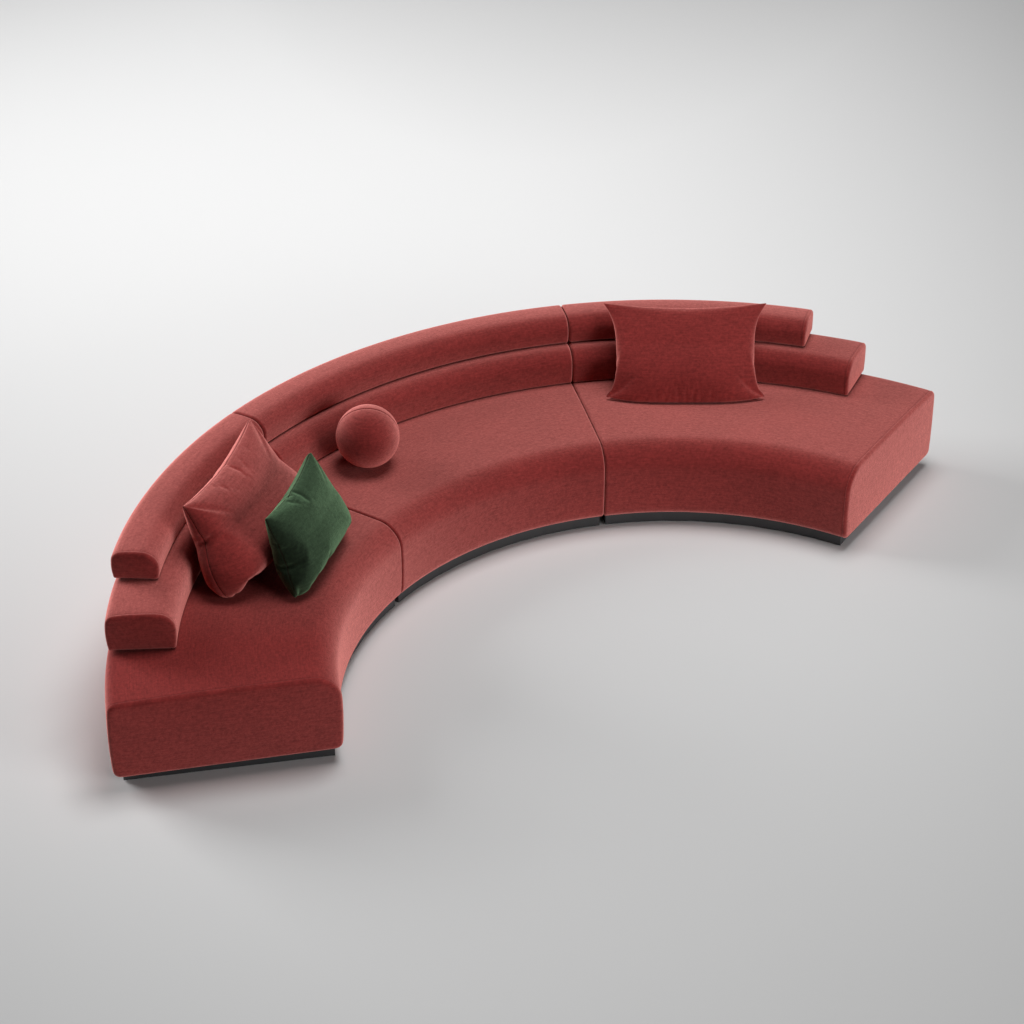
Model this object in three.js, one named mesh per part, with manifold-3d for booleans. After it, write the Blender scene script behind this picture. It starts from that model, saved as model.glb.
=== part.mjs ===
// A curved sectional sofa: three upholstered modules that stand side by side on one ring.
// Each module has a recessed plinth, a sprung seat, and two back rolls, one on the other, on a steel bracket.
// Two red cushions, a green one and a ball lie loose on the seats.
// Lengths are millimetres, +Z is up, and the ring's open side faces -Y.
import * as THREE from "three";
import { mergeVertices, toCreasedNormals } from "three/addons/utils/BufferGeometryUtils.js";
import Module from "manifold-3d";

const wasm = await Module();
wasm.setup();

// Plan of the ring
const MODULE_TURN_DEG = 45;
const BEND_DEG = 5.625; // the longest straight stretch that a curve is made of
const INNER_RADIUS = 1460; // the seats' front
const SEAT_DEPTH = 945;
const MODULE_GAP = 3;

// Heights of what the stack is made of
const GLIDE_HEIGHT = 5;
const PLINTH_TOP = 60;
const SEAT_TOP = 430;
const LOWER_ROLL_HEIGHT = 172;
const UPPER_ROLL_HEIGHT = 131;

// Back rolls
const ROLL_SETBACK = 9; // from the seat's back
const LOWER_ROLL_DEPTH = 290;
const UPPER_ROLL_DEPTH = 203;
const LOWER_ROLL_SHORT_DEG = 8.75; // how far the rolls stop short of the ring's free ends
const UPPER_ROLL_SHORT_DEG = 15.25;

// Roundings of the upholstery
const SEAT_FRONT_ROUND = 130;
const SEAT_BACK_ROUND = 34;
const SEAT_FOOT_ROUND = 18;
const SEAT_CROWN = 8; // how far the front and back faces swell
const LOWER_FRONT_ROUND = 90;
const UPPER_FRONT_ROUND = 80;
const ROLL_BACK_ROUND = 28;
const END_ROUND = 12;
const BIG_ROUND_STEPS = 4;
const SMALL_ROUND_STEPS = 2;

// Layers
const SEAT_CLEARANCE = 0.3; // between pieces that touch
const COVER_WALL = 3; // fabric and its wadding
const COVER_LIP = 55; // cloth turned in under a block
const DUST_CLOTH_WALL = 1;
const CUT_OVERRUN = 5; // how far a cut runs past what it cuts

// Timber seat frame and its webbing
const FRAME_INSET = 34; // from the cover's face to the timber
const FRAME_HEIGHT = 120;
const RAIL_WIDTH = 32;
const REAR_RAIL_WIDTH = 100;
const FRAME_BAYS = 4;
const WEB_WIDTH = 50;
const WEB_THICKNESS = 3;
const WEB_CROSS_THICKNESS = 2; // the straps across, at mid height of the others
const WEB_RINGS = 3;
const WEB_SPOKES = 4;
const WEB_BENDS = 4; // stretches that a strap along the ring is made of
const WEB_BRACKET_SPACE = 5; // between the straps' ends and the bracket's foot plate

// Plinth and glides
const PLINTH_FRONT_RECESS = 40;
const PLINTH_BACK_RECESS = 45;
const PLINTH_SEAM_RECESS = 14.5;
const PLINTH_SHORT_DEG = 1.5; // at the ring's free ends
const PLINTH_BOARD = 20;
const GLIDE_WIDTH = 30;
const GLIDE_INSET = 12;

// Timber cores and the steel bracket that carries both rolls
const CORE_INSET = 38;
const CORE_HEIGHT = 58;
const PLATE_THICKNESS = 6;
const PLATE_WIDTH = 70;
const POST_WIDTH = 44;
const POST_THICKNESS = 10;
const POST_FROM_END = 170; // from the upper roll's end
const POST_HOLE_CLEARANCE = 1;

// Clips that hold neighbouring plinths together
const CLIP_HEIGHT = 30;
const CLIP_WIDTH = 46;
const CLIP_PLATE = 3;
const CLIP_JAW_REACH = 20;
const CLIP_JAW_WALL = 4;
const CLIP_TONGUE_WIDTH = 12;
const CLIP_END_PLAY = 1.5;
const CORE_CAP = 5; // timber left over the posts in the upper core

// Loose cushions: widths and heights run from corner to corner
const CUSHION_WALL = 2;
const CUSHION_SEAM = 7; // thickness of the sewn edge
const CUSHION_SEAM_MARGIN = 9;
const CUSHION_COLUMNS = 12;
const CUSHION_ROWS = 10;
const CUSHION_MEASURE_STEPS = 6; // finer division of the form when its back is measured
const CUSHION_TURN_DEG = 2.2; // from facing the ring's centre
const ZIP_WIDTH = 3;
const ZIP_LENGTH_SHARE = 0.55; // of the cushion's width
const FILL_TOP_SHARE = 0.8; // exponents that let the fill slump to the lower half
const FILL_FOOT_SHARE = 0.4;
const RED_CUSHION = { width: 760, height: 450, sideShare: 0.13, topShare: 0.11 };
const GREEN_CUSHION = { width: 565, height: 385, sideShare: 0.06, topShare: 0.06 };
// How each one stands: its lean, its place from the middle of its module, its bottom seam above the seat,
// and how far the fill swells before and behind the seam
const LEFT_STANCE = { leanDeg: 26, offDeg: -8.4, seamLift: 4, belly: 131, back: 122 };
const RIGHT_STANCE = { leanDeg: 34.5, offDeg: 7.9, seamLift: 16, belly: 122, back: 102 };
const GREEN_STANCE = { leanDeg: 16, offDeg: -7.6, seamLift: 4, belly: 106, back: 120 };
const GREEN_CUSHION_SPACE = 40; // between the two fills, measured at their middles
const BALL_RADIUS = 145;
const BALL_OFF_DEG = 11.8;
const BALL_ROLL_SPACE = 37;
const BALL_DETAIL = 3;
const BALL_SLIT_LENGTH = 110;

const FULL_TURN_DEG = 360;
const QUARTER_DEG = FULL_TURN_DEG / 4;
const CREASE_DEG = 40; // sharper edges are shaded as edges
const MIDDLE_DEG = QUARTER_DEG; // a module is built with its middle on +Y
const WELD = 0.001;
const END_SHARE = 0.001; // of one stretch

const OUTER_RADIUS = INNER_RADIUS + SEAT_DEPTH;
const ROLL_BACK = OUTER_RADIUS - ROLL_SETBACK;
const LOWER_FRONT = ROLL_BACK - LOWER_ROLL_DEPTH;
const UPPER_FRONT = ROLL_BACK - UPPER_ROLL_DEPTH;
const LOWER_TOP = SEAT_TOP + LOWER_ROLL_HEIGHT;
const UPPER_TOP = LOWER_TOP + UPPER_ROLL_HEIGHT;
const SEAT_FOOT = PLINTH_TOP + SEAT_CLEARANCE;
const LINING = COVER_WALL + SEAT_CLEARANCE; // from a cover's outside to what fills it
const FRAME_FRONT = INNER_RADIUS + FRAME_INSET;
const FRAME_BACK = OUTER_RADIUS - FRAME_INSET;
const FRAME_FOOT = SEAT_FOOT + LINING;
const FRAME_TOP = FRAME_FOOT + FRAME_HEIGHT;
const REAR_RAIL_FRONT = FRAME_BACK - REAR_RAIL_WIDTH;
const POST_RADIUS = FRAME_BACK - REAR_RAIL_WIDTH / 2;
const PLINTH_FRONT = INNER_RADIUS + PLINTH_FRONT_RECESS;
const PLINTH_BACK = OUTER_RADIUS - PLINTH_BACK_RECESS;

const deg = THREE.MathUtils.degToRad;

function finish(color, roughness, metalness = 0) {
  return () => new THREE.MeshStandardMaterial({ color, roughness, metalness });
}
const redVelvet = finish(0x8e4541, 0.85);
const greenVelvet = finish(0x2f5a3a, 0.85);
const redZip = finish(0x5c2a28, 0.6);
const greenZip = finish(0x1f3a27, 0.6);
const blackLacquer = finish(0x2a2b2c, 0.45);
const feltPad = finish(0x3b3a39, 0.95);
const paleTimber = finish(0xc8a676, 0.7);
const elastic = finish(0x26272b, 0.9);
const seatFoam = finish(0xe9dfc6, 0.95);
const blackCloth = finish(0x1b1b1c, 0.95);
const zincSteel = finish(0x9a9c9e, 0.4, 0.9);
const feather = finish(0xf1eee6, 0.95);

// A three.js geometry as a solid that can be joined and cut
function solid(geometry) {
  const bare = new THREE.BufferGeometry();
  bare.setAttribute("position", geometry.getAttribute("position"));
  bare.setIndex(geometry.index);
  const welded = mergeVertices(bare, WELD);
  return new wasm.Manifold(
    new wasm.Mesh({
      numProp: 3,
      vertProperties: welded.getAttribute("position").array,
      triVerts: new Uint32Array(welded.index.array),
    }),
  );
}

function piece(name, shape, material) {
  const { vertProperties, triVerts } = shape.getMesh();
  const geometry = new THREE.BufferGeometry();
  geometry.setAttribute("position", new THREE.BufferAttribute(vertProperties, 3));
  geometry.setIndex(new THREE.BufferAttribute(triVerts, 1));
  const mesh = new THREE.Mesh(toCreasedNormals(geometry, deg(CREASE_DEG)), material());
  mesh.name = name;
  return mesh;
}

// The outline of a block across its run, as points of radius and height, with rounded corners.
// The corners go round from the front foot by the back, and inset draws the outline of an inner layer.
function outline({ front, back, foot, top, rounds = [0, 0, 0, 0], crown = 0 }, inset) {
  const low = foot + inset;
  const high = top - inset;
  const near = front + inset + crown;
  const far = back - inset - crown;
  const corners = [
    [near, low, 1, 1],
    [far, low, -1, 1],
    [far, high, -1, -1],
    [near, high, 1, -1],
  ];
  const points = [];
  corners.forEach(([radius, height, inR, inZ], corner) => {
    const size = Math.max(rounds[corner] - inset, 0);
    const steps = rounds[corner] > ROLL_BACK_ROUND * 2 ? BIG_ROUND_STEPS : SMALL_ROUND_STEPS;
    for (let i = 0; i <= (size ? steps : 0); i++) {
      const turn = deg(QUARTER_DEG * (corner + 2 + (size ? i / steps : 0)));
      const reach = size ? 1 : 0;
      points.push(
        new THREE.Vector2(
          radius + size * (inR + reach * Math.cos(turn)),
          height + size * (inZ + reach * Math.sin(turn)),
        ),
      );
    }
    const middle = (low + high) / 2;
    if (crown && corner === 1) points.push(new THREE.Vector2(back - inset, middle));
    if (crown && corner === 3) points.push(new THREE.Vector2(front + inset, middle));
  });
  return points;
}

// A block bent round the ring: the outline is drawn out in straight stretches, from the run's left end on.
// Each end stays a flat plane, set in by its own distance, and soft rounds the edges round it.
function bentBlock(profile, run, inset = 0) {
  const span = run.left - run.right;
  const bends = run.bends ?? Math.max(Math.round(span / BEND_DEG), 2);
  const soft = Math.max((run.soft ?? 0) - inset, 0);
  const geometry = new THREE.ExtrudeGeometry(new THREE.Shape(outline(profile, inset)), {
    depth: bends,
    steps: bends,
    bevelEnabled: soft > 0,
    bevelThickness: soft,
    bevelSize: soft,
    bevelOffset: -soft,
    bevelSegments: inset ? 1 : SMALL_ROUND_STEPS,
  });
  const position = geometry.getAttribute("position");
  for (let i = 0; i < position.count; i++) {
    const radius = position.getX(i);
    const height = position.getY(i);
    const along = position.getZ(i);
    const left = along < END_SHARE;
    const right = along > bends - END_SHARE;
    if (!left && !right) {
      const turn = deg(MIDDLE_DEG + run.left - (span * Math.round(along)) / bends);
      position.setXYZ(i, radius * Math.cos(turn), radius * Math.sin(turn), height);
      continue;
    }
    const end = deg(MIDDLE_DEG + (left ? run.left : run.right));
    const halfStep = (deg(span / bends) / 2) * (left ? -1 : 1);
    const setIn = left ? (run.leftInset ?? 0) + along : (run.rightInset ?? 0) + bends - along;
    const shift = ((setIn + inset + soft) / Math.cos(halfStep)) * Math.sign(halfStep);
    position.setXYZ(
      i,
      radius * Math.cos(end) - shift * Math.sin(end + halfStep),
      radius * Math.sin(end) + shift * Math.cos(end + halfStep),
      height,
    );
  }
  return solid(geometry);
}

// A box on the ring, drawn with its length along the ring, its width across it and its height up
function ringBox(length, width, height, radius, foot, turnDeg) {
  const box = new THREE.BoxGeometry(length, width, height);
  box.translate(0, radius, foot + height / 2);
  box.rotateZ(deg(turnDeg));
  return solid(box);
}

// A slab with bays cut out between its rails
function ladder(profile, run, rail, rearRail) {
  let slab = bentBlock(profile, run);
  const middle = (profile.front + profile.back) / 2;
  const rows = [
    [profile.front + rail, middle - rail / 2],
    [middle + rail / 2, profile.back - rearRail],
  ];
  const bay = (run.left - run.right) / FRAME_BAYS;
  for (let i = 0; i < FRAME_BAYS; i++) {
    for (const [front, back] of rows) {
      const hole = {
        left: run.left - bay * i,
        right: run.left - bay * (i + 1),
        leftInset: i ? rail / 2 : run.leftInset + rail,
        rightInset: i < FRAME_BAYS - 1 ? rail / 2 : run.rightInset + rail,
      };
      const foot = profile.foot - CUT_OVERRUN;
      slab = slab.subtract(bentBlock({ front, back, foot, top: profile.top + CUT_OVERRUN }, hole));
    }
  }
  return slab;
}

// The run of a module's pieces, short of the ring's free ends and of the seams between modules
function runOf(module, { shortDeg = 0, seamInset = 0, endInset = 0, soft = 0 }) {
  return {
    left: MODULE_TURN_DEG / 2 - (module.freeLeft ? shortDeg : 0),
    right: (module.freeRight ? shortDeg : 0) - MODULE_TURN_DEG / 2,
    leftInset: module.freeLeft ? endInset : seamInset,
    rightInset: module.freeRight ? endInset : seamInset,
    soft,
  };
}

function plinthPieces(module) {
  const run = runOf(module, { shortDeg: PLINTH_SHORT_DEG, seamInset: PLINTH_SEAM_RECESS });
  const board = {
    front: PLINTH_FRONT,
    back: PLINTH_BACK,
    foot: GLIDE_HEIGHT + SEAT_CLEARANCE,
    top: PLINTH_TOP,
  };
  const strip = (front) =>
    bentBlock(
      { front, back: front + GLIDE_WIDTH, foot: 0, top: GLIDE_HEIGHT },
      {
        ...run,
        leftInset: run.leftInset + GLIDE_INSET,
        rightInset: run.rightInset + GLIDE_INSET,
      },
    );
  return [
    piece(module.name + "_plinth", ladder(board, run, PLINTH_BOARD, PLINTH_BOARD), blackLacquer),
    piece(module.name + "_front_glide", strip(PLINTH_FRONT + GLIDE_INSET), feltPad),
    piece(module.name + "_rear_glide", strip(PLINTH_BACK - GLIDE_INSET - GLIDE_WIDTH), feltPad),
  ];
}

// The places of the bracket's two posts, as turns from the module's middle
function postTurns(module) {
  const fromEnd = THREE.MathUtils.radToDeg(POST_FROM_END / POST_RADIUS);
  const run = runOf(module, { shortDeg: UPPER_ROLL_SHORT_DEG });
  return [run.left - fromEnd, run.right + fromEnd];
}

// The steel bracket: a curved foot plate on the rear rail and two posts that run up through both rolls.
// With a clearance it is the hole that the posts and the plate need.
function bracket(module, clearance = 0) {
  const [left, right] = postTurns(module);
  const past = THREE.MathUtils.radToDeg((POST_WIDTH / 2 + clearance) / POST_RADIUS);
  const foot = FRAME_TOP + SEAT_CLEARANCE - clearance;
  const top = LOWER_TOP + SEAT_CLEARANCE + LINING + CORE_HEIGHT - CORE_CAP + clearance;
  const half = PLATE_WIDTH / 2 + clearance;
  let shape = bentBlock(
    {
      front: POST_RADIUS - half,
      back: POST_RADIUS + half,
      foot,
      top: foot + PLATE_THICKNESS + 2 * clearance,
    },
    { left: left + past, right: right - past },
  );
  for (const turn of [left, right]) {
    const width = POST_WIDTH + 2 * clearance;
    const thickness = POST_THICKNESS + 2 * clearance;
    shape = shape.add(ringBox(width, thickness, top - foot, POST_RADIUS, foot, turn));
  }
  return shape;
}

// Straps woven across the frame, drawn as one net
function webbing(module) {
  const run = runOf(module, { seamInset: MODULE_GAP / 2 });
  const reach = FRAME_INSET + RAIL_WIDTH / 2;
  const foot = FRAME_TOP + SEAT_CLEARANCE;
  const front = FRAME_FRONT + RAIL_WIDTH / 2;
  const back = POST_RADIUS - PLATE_WIDTH / 2 - WEB_BRACKET_SPACE;
  const ends = {
    ...run,
    leftInset: run.leftInset + reach,
    rightInset: run.rightInset + reach,
    bends: WEB_BENDS,
  };
  const spokeTurn = (run.left - run.right) / (WEB_SPOKES + 1);
  const crossFoot = foot + (WEB_THICKNESS - WEB_CROSS_THICKNESS) / 2;
  let net = null;
  for (let i = 1; i <= WEB_RINGS; i++) {
    const middle = front + ((back - front) * i) / (WEB_RINGS + 1);
    const top = foot + WEB_THICKNESS;
    const ring = { front: middle - WEB_WIDTH / 2, back: middle + WEB_WIDTH / 2, foot, top };
    const strap = bentBlock(ring, ends);
    net = net ? net.add(strap) : strap;
  }
  for (let i = 1; i <= WEB_SPOKES; i++) {
    const turn = run.left - spokeTurn * i;
    const middle = (front + back) / 2;
    net = net.add(
      ringBox(WEB_WIDTH, back - front, WEB_CROSS_THICKNESS, middle, crossFoot, turn),
    );
  }
  return net;
}

// A block's cover, cut from its outside and its lining, and open underneath inside the turned-in lip
function cover(profile, run) {
  const hollow = bentBlock(profile, run, COVER_WALL);
  const opening = {
    front: profile.front,
    back: profile.back,
    foot: profile.foot - COVER_LIP - CUT_OVERRUN,
    top: profile.foot + COVER_WALL + COVER_LIP + CUT_OVERRUN,
  };
  return bentBlock(profile, run)
    .subtract(hollow)
    .subtract(bentBlock(opening, { ...run, soft: 0 }, COVER_LIP));
}

// The foam inside a cover, with a pocket underneath for the timber that it is glued to
function foam(profile, run, timberInset, pocketTop) {
  const pocket = { ...profile, rounds: undefined, crown: 0 };
  const inset = timberInset - SEAT_CLEARANCE;
  return bentBlock(profile, run, LINING).subtract(
    bentBlock(
      { ...pocket, foot: profile.foot - inset - CUT_OVERRUN, top: pocketTop + inset },
      { ...run, soft: 0 },
      inset,
    ),
  );
}

function seatPieces(module) {
  const run = runOf(module, { seamInset: MODULE_GAP / 2, soft: END_ROUND });
  const block = {
    front: INNER_RADIUS,
    back: OUTER_RADIUS,
    foot: SEAT_FOOT,
    top: SEAT_TOP,
    rounds: [SEAT_FOOT_ROUND, SEAT_FOOT_ROUND, SEAT_BACK_ROUND, SEAT_FRONT_ROUND],
    crown: SEAT_CROWN,
  };
  const frame = { front: FRAME_FRONT, back: FRAME_BACK, foot: FRAME_FOOT, top: FRAME_TOP };
  const frameRun = {
    ...run,
    soft: 0,
    leftInset: run.leftInset + FRAME_INSET,
    rightInset: run.rightInset + FRAME_INSET,
  };
  const clothTop = FRAME_FOOT - SEAT_CLEARANCE;
  const cloth = {
    front: INNER_RADIUS,
    back: OUTER_RADIUS,
    foot: clothTop - DUST_CLOTH_WALL - COVER_LIP - SEAT_CLEARANCE,
    top: clothTop + COVER_LIP + SEAT_CLEARANCE,
  };
  const holes = bracket(module, POST_HOLE_CLEARANCE);
  const pocketTop = FRAME_TOP + SEAT_CLEARANCE + WEB_THICKNESS + SEAT_CLEARANCE;
  return [
    piece(
      module.name + "_seat_frame",
      ladder(frame, frameRun, RAIL_WIDTH, REAR_RAIL_WIDTH),
      paleTimber,
    ),
    piece(module.name + "_seat_webbing", webbing(module), elastic),
    piece(
      module.name + "_seat_foam",
      foam(block, run, FRAME_INSET, pocketTop).subtract(holes),
      seatFoam,
    ),
    piece(module.name + "_seat_cover", cover(block, run).subtract(holes), redVelvet),
    piece(
      module.name + "_dust_cloth",
      bentBlock(cloth, { ...run, soft: 0 }, COVER_LIP + SEAT_CLEARANCE),
      blackCloth,
    ),
  ];
}

// One back roll: its core, foam and cover. The bracket's posts run through it.
function rollPieces(module, name, front, foot, top, frontRound, shortDeg) {
  const run = runOf(module, { shortDeg, seamInset: MODULE_GAP / 2, soft: END_ROUND });
  const rounds = [0, 0, ROLL_BACK_ROUND, frontRound];
  const block = { front, back: ROLL_BACK, foot: foot + SEAT_CLEARANCE, top, rounds };
  const coreFoot = block.foot + LINING;
  const core = bentBlock(
    {
      front,
      back: ROLL_BACK,
      foot: coreFoot - CORE_INSET,
      top: coreFoot + CORE_HEIGHT + CORE_INSET,
    },
    { ...run, soft: 0 },
    CORE_INSET,
  );
  const holes = bracket(module, POST_HOLE_CLEARANCE);
  const filling = foam(block, run, CORE_INSET, coreFoot + CORE_HEIGHT + SEAT_CLEARANCE);
  const label = module.name + "_" + name;
  return [
    piece(label + "_core", core.subtract(holes), paleTimber),
    piece(label + "_foam", filling.subtract(holes), seatFoam),
    piece(label + "_cover", cover(block, run).subtract(holes), redVelvet),
  ];
}

// One half of a clip, screwed to a plinth's end at a seam: side is 1 for the left end and -1 for the right.
// The jaw's two lips close round the tongue of the next module.
function clip(isJaw, side) {
  const radius = (PLINTH_FRONT + PLINTH_BACK) / 2;
  const foot = (GLIDE_HEIGHT + PLINTH_TOP - CLIP_HEIGHT) / 2;
  const face = PLINTH_SEAM_RECESS - SEAT_CLEARANCE; // from the seam's plane to the plinth's end
  const block = (from, reach, width, at) => {
    const box = new THREE.BoxGeometry(reach, width, CLIP_HEIGHT);
    box.translate(-side * (from + reach / 2), radius + at, foot + CLIP_HEIGHT / 2);
    return solid(box);
  };
  // lengths along the seam's normal are counted outwards from this module's plinth
  const plate = block(-face, CLIP_PLATE, CLIP_WIDTH, 0);
  if (!isJaw) {
    const reach = 2 * face - 2 * CLIP_PLATE - CLIP_END_PLAY;
    return plate.add(block(-face, CLIP_PLATE + reach, CLIP_TONGUE_WIDTH, 0));
  }
  const aside = (CLIP_TONGUE_WIDTH + CLIP_JAW_WALL) / 2 + SEAT_CLEARANCE;
  return plate
    .add(block(-face, CLIP_JAW_REACH, CLIP_JAW_WALL, aside))
    .add(block(-face, CLIP_JAW_REACH, CLIP_JAW_WALL, -aside));
}

function clipPiece(name, isJaw, side) {
  const mesh = piece(name, clip(isJaw, side), zincSteel);
  mesh.rotation.z = deg((side * MODULE_TURN_DEG) / 2);
  return mesh;
}

// Thickness of a cushion's fill at a height, from -1 at the foot to 1 at the top: most of it lies low
function fillAt(height) {
  const fullest = (FILL_FOOT_SHARE - FILL_TOP_SHARE) / (FILL_FOOT_SHARE + FILL_TOP_SHARE);
  const fill = (at) => (1 + at) ** FILL_FOOT_SHARE * (1 - at) ** FILL_TOP_SHARE;
  return fill(height) / fill(fullest);
}

// Height of a leaning cushion's middle above what it stands on
function standingHeight(size, { leanDeg, seamLift }) {
  return (size.height / 2) * Math.cos(deg(leanDeg)) + seamLift;
}

// A cushion on its long edge: drawn-in sides and top, a low belly, and a base flattened by the seat.
// X runs along it, Y up its own slope, and +Z out of its front.
// layer and margin set in the pad and the lining.
function cushionForm(size, stance, layer = 0, margin = 0, steps = 1) {
  const form = new THREE.BoxGeometry(2, 2, 2, CUSHION_COLUMNS * steps, CUSHION_ROWS * steps, 1);
  const position = form.getAttribute("position");
  const lean = deg(stance.leanDeg);
  const base = layer - standingHeight(size, stance);
  const edge = (t) => Math.sin((t * Math.PI) / 2);
  const seam = Math.max(CUSHION_SEAM / 2 - layer, CUSHION_SEAM / 8);
  for (let i = 0; i < position.count; i++) {
    const u = edge(position.getX(i));
    const v = edge(position.getY(i));
    const front = position.getZ(i) > 0;
    const halfWidth = (size.width / 2) * (1 - size.sideShare * (1 - v * v)) - margin;
    const drawn = v > 0 ? size.topShare * (1 - u * u) : 0;
    const halfHeight = (size.height / 2) * (1 - drawn) - margin;
    const full = (front ? stance.belly : stance.back) - layer - seam;
    const belly = seam + full * Math.sqrt(Math.max(1 - u ** 4, 0)) * fillAt(v);
    let y = v * halfHeight;
    let z = front ? belly : -belly;
    const lift = Math.max(base - (y * Math.cos(lean) + z * Math.sin(lean)), 0);
    y += lift * Math.cos(lean);
    z += lift * Math.sin(lean);
    position.setXYZ(i, u * halfWidth, y, z);
  }
  return form;
}

function cushion(name, size, stance, fabric, zipper) {
  const zipLength = size.width * ZIP_LENGTH_SHARE;
  const foot = -size.height / 2;
  const padLayer = CUSHION_WALL + SEAT_CLEARANCE;
  const padMargin = CUSHION_SEAM_MARGIN + SEAT_CLEARANCE;
  const slit = new THREE.BoxGeometry(zipLength, CUSHION_SEAM_MARGIN * 2, ZIP_WIDTH);
  slit.translate(0, foot + CUSHION_SEAM_MARGIN - CUT_OVERRUN, 0);
  const tape = new THREE.BoxGeometry(
    zipLength - 2 * SEAT_CLEARANCE,
    CUSHION_SEAM_MARGIN - SEAT_CLEARANCE,
    ZIP_WIDTH - 2 * SEAT_CLEARANCE,
  );
  tape.translate(0, foot + CUSHION_SEAM_MARGIN / 2, 0);
  const skin = solid(cushionForm(size, stance))
    .subtract(solid(cushionForm(size, stance, CUSHION_WALL, CUSHION_SEAM_MARGIN)))
    .subtract(solid(slit));
  const group = new THREE.Group();
  group.add(
    piece(name + "_cover", skin, fabric),
    piece(name + "_pad", solid(cushionForm(size, stance, padLayer, padMargin)), feather),
    piece(name + "_zip", solid(tape), zipper),
  );
  return group;
}

// Stands a leaning cushion on a module's seat with its back to the rolls
function stand(group, size, stance, radius) {
  const at = deg(MIDDLE_DEG + stance.offDeg);
  group.rotation.x = deg(QUARTER_DEG - stance.leanDeg);
  const place = new THREE.Group();
  place.add(group);
  place.rotation.z = deg(stance.offDeg + CUSHION_TURN_DEG);
  place.position.set(
    radius * Math.cos(at),
    radius * Math.sin(at),
    SEAT_TOP + SEAT_CLEARANCE + standingHeight(size, stance),
  );
  return place;
}

// The front edge of the back at a height: its two rounded rolls, or nothing above them
function backFrontAt(height) {
  const lower = { front: LOWER_FRONT, top: LOWER_TOP, round: LOWER_FRONT_ROUND };
  const upper = { front: UPPER_FRONT, top: UPPER_TOP, round: UPPER_FRONT_ROUND };
  const { front, top, round } = height < LOWER_TOP ? lower : upper;
  const rise = Math.max(height - (top - round), 0);
  return rise < round ? front + round - Math.sqrt(round ** 2 - rise ** 2) : ROLL_BACK;
}

// Radius of a cushion's middle when the fullest part of its back just clears the rolls
function againstRolls(size, stance) {
  const form = cushionForm(size, stance, 0, 0, CUSHION_MEASURE_STEPS);
  form.rotateX(deg(QUARTER_DEG - stance.leanDeg));
  form.rotateZ(deg(CUSHION_TURN_DEG));
  const position = form.getAttribute("position");
  const middle = SEAT_TOP + SEAT_CLEARANCE + standingHeight(size, stance);
  const chordShare = Math.cos(deg(BEND_DEG / 2));
  let radius = Infinity;
  for (let i = 0; i < position.count; i++) {
    const limit = backFrontAt(middle + position.getZ(i)) * chordShare - SEAT_CLEARANCE;
    const reach = Math.sqrt(limit ** 2 - position.getX(i) ** 2);
    radius = Math.min(radius, reach - position.getY(i));
  }
  return radius;
}

function ball() {
  const shell = (radius) => solid(new THREE.IcosahedronGeometry(radius, BALL_DETAIL));
  const slit = new THREE.BoxGeometry(BALL_SLIT_LENGTH, BALL_RADIUS, ZIP_WIDTH);
  slit.translate(0, BALL_RADIUS, 0);
  const skin = shell(BALL_RADIUS).subtract(shell(BALL_RADIUS - COVER_WALL)).subtract(solid(slit));
  const group = new THREE.Group();
  group.add(
    piece("ball_cushion_cover", skin, redVelvet),
    piece("ball_cushion_pad", shell(BALL_RADIUS - LINING), feather),
  );
  const radius = LOWER_FRONT - BALL_ROLL_SPACE - BALL_RADIUS;
  const at = deg(MIDDLE_DEG + BALL_OFF_DEG);
  group.position.set(radius * Math.cos(at), radius * Math.sin(at), SEAT_TOP + SEAT_CLEARANCE + BALL_RADIUS);
  return group;
}

const modules = [
  { name: "left", turnDeg: MODULE_TURN_DEG, freeLeft: true, freeRight: false },
  { name: "centre", turnDeg: 0, freeLeft: false, freeRight: false },
  { name: "right", turnDeg: -MODULE_TURN_DEG, freeLeft: false, freeRight: true },
];
const groups = {};
const ring = new THREE.Group();
for (const module of modules) {
  const group = new THREE.Group();
  group.rotation.z = deg(module.turnDeg);
  group.add(
    ...plinthPieces(module),
    ...seatPieces(module),
    ...rollPieces(
      module,
      "lower_roll",
      LOWER_FRONT,
      SEAT_TOP,
      LOWER_TOP,
      LOWER_FRONT_ROUND,
      LOWER_ROLL_SHORT_DEG,
    ),
    ...rollPieces(
      module,
      "upper_roll",
      UPPER_FRONT,
      LOWER_TOP,
      UPPER_TOP,
      UPPER_FRONT_ROUND,
      UPPER_ROLL_SHORT_DEG,
    ),
    piece(module.name + "_back_bracket", bracket(module), zincSteel),
  );
  groups[module.name] = group;
  ring.add(group);
}

groups.left.add(clipPiece("left_clip_tongue", false, -1));
groups.centre.add(clipPiece("left_clip_jaw", true, 1), clipPiece("right_clip_jaw", true, -1));
groups.right.add(clipPiece("right_clip_tongue", false, 1));

const leftRadius = againstRolls(RED_CUSHION, LEFT_STANCE);
const rightRadius = againstRolls(RED_CUSHION, RIGHT_STANCE);
const greenRadius = leftRadius - LEFT_STANCE.belly - GREEN_CUSHION_SPACE - GREEN_STANCE.back;
const leftCushion = cushion("left_cushion", RED_CUSHION, LEFT_STANCE, redVelvet, redZip);
const rightCushion = cushion("right_cushion", RED_CUSHION, RIGHT_STANCE, redVelvet, redZip);
const greenCushion = cushion("green_cushion", GREEN_CUSHION, GREEN_STANCE, greenVelvet, greenZip);
groups.left.add(
  stand(leftCushion, RED_CUSHION, LEFT_STANCE, leftRadius),
  stand(greenCushion, GREEN_CUSHION, GREEN_STANCE, greenRadius),
);
groups.centre.add(ball());
groups.right.add(stand(rightCushion, RED_CUSHION, RIGHT_STANCE, rightRadius));

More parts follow.
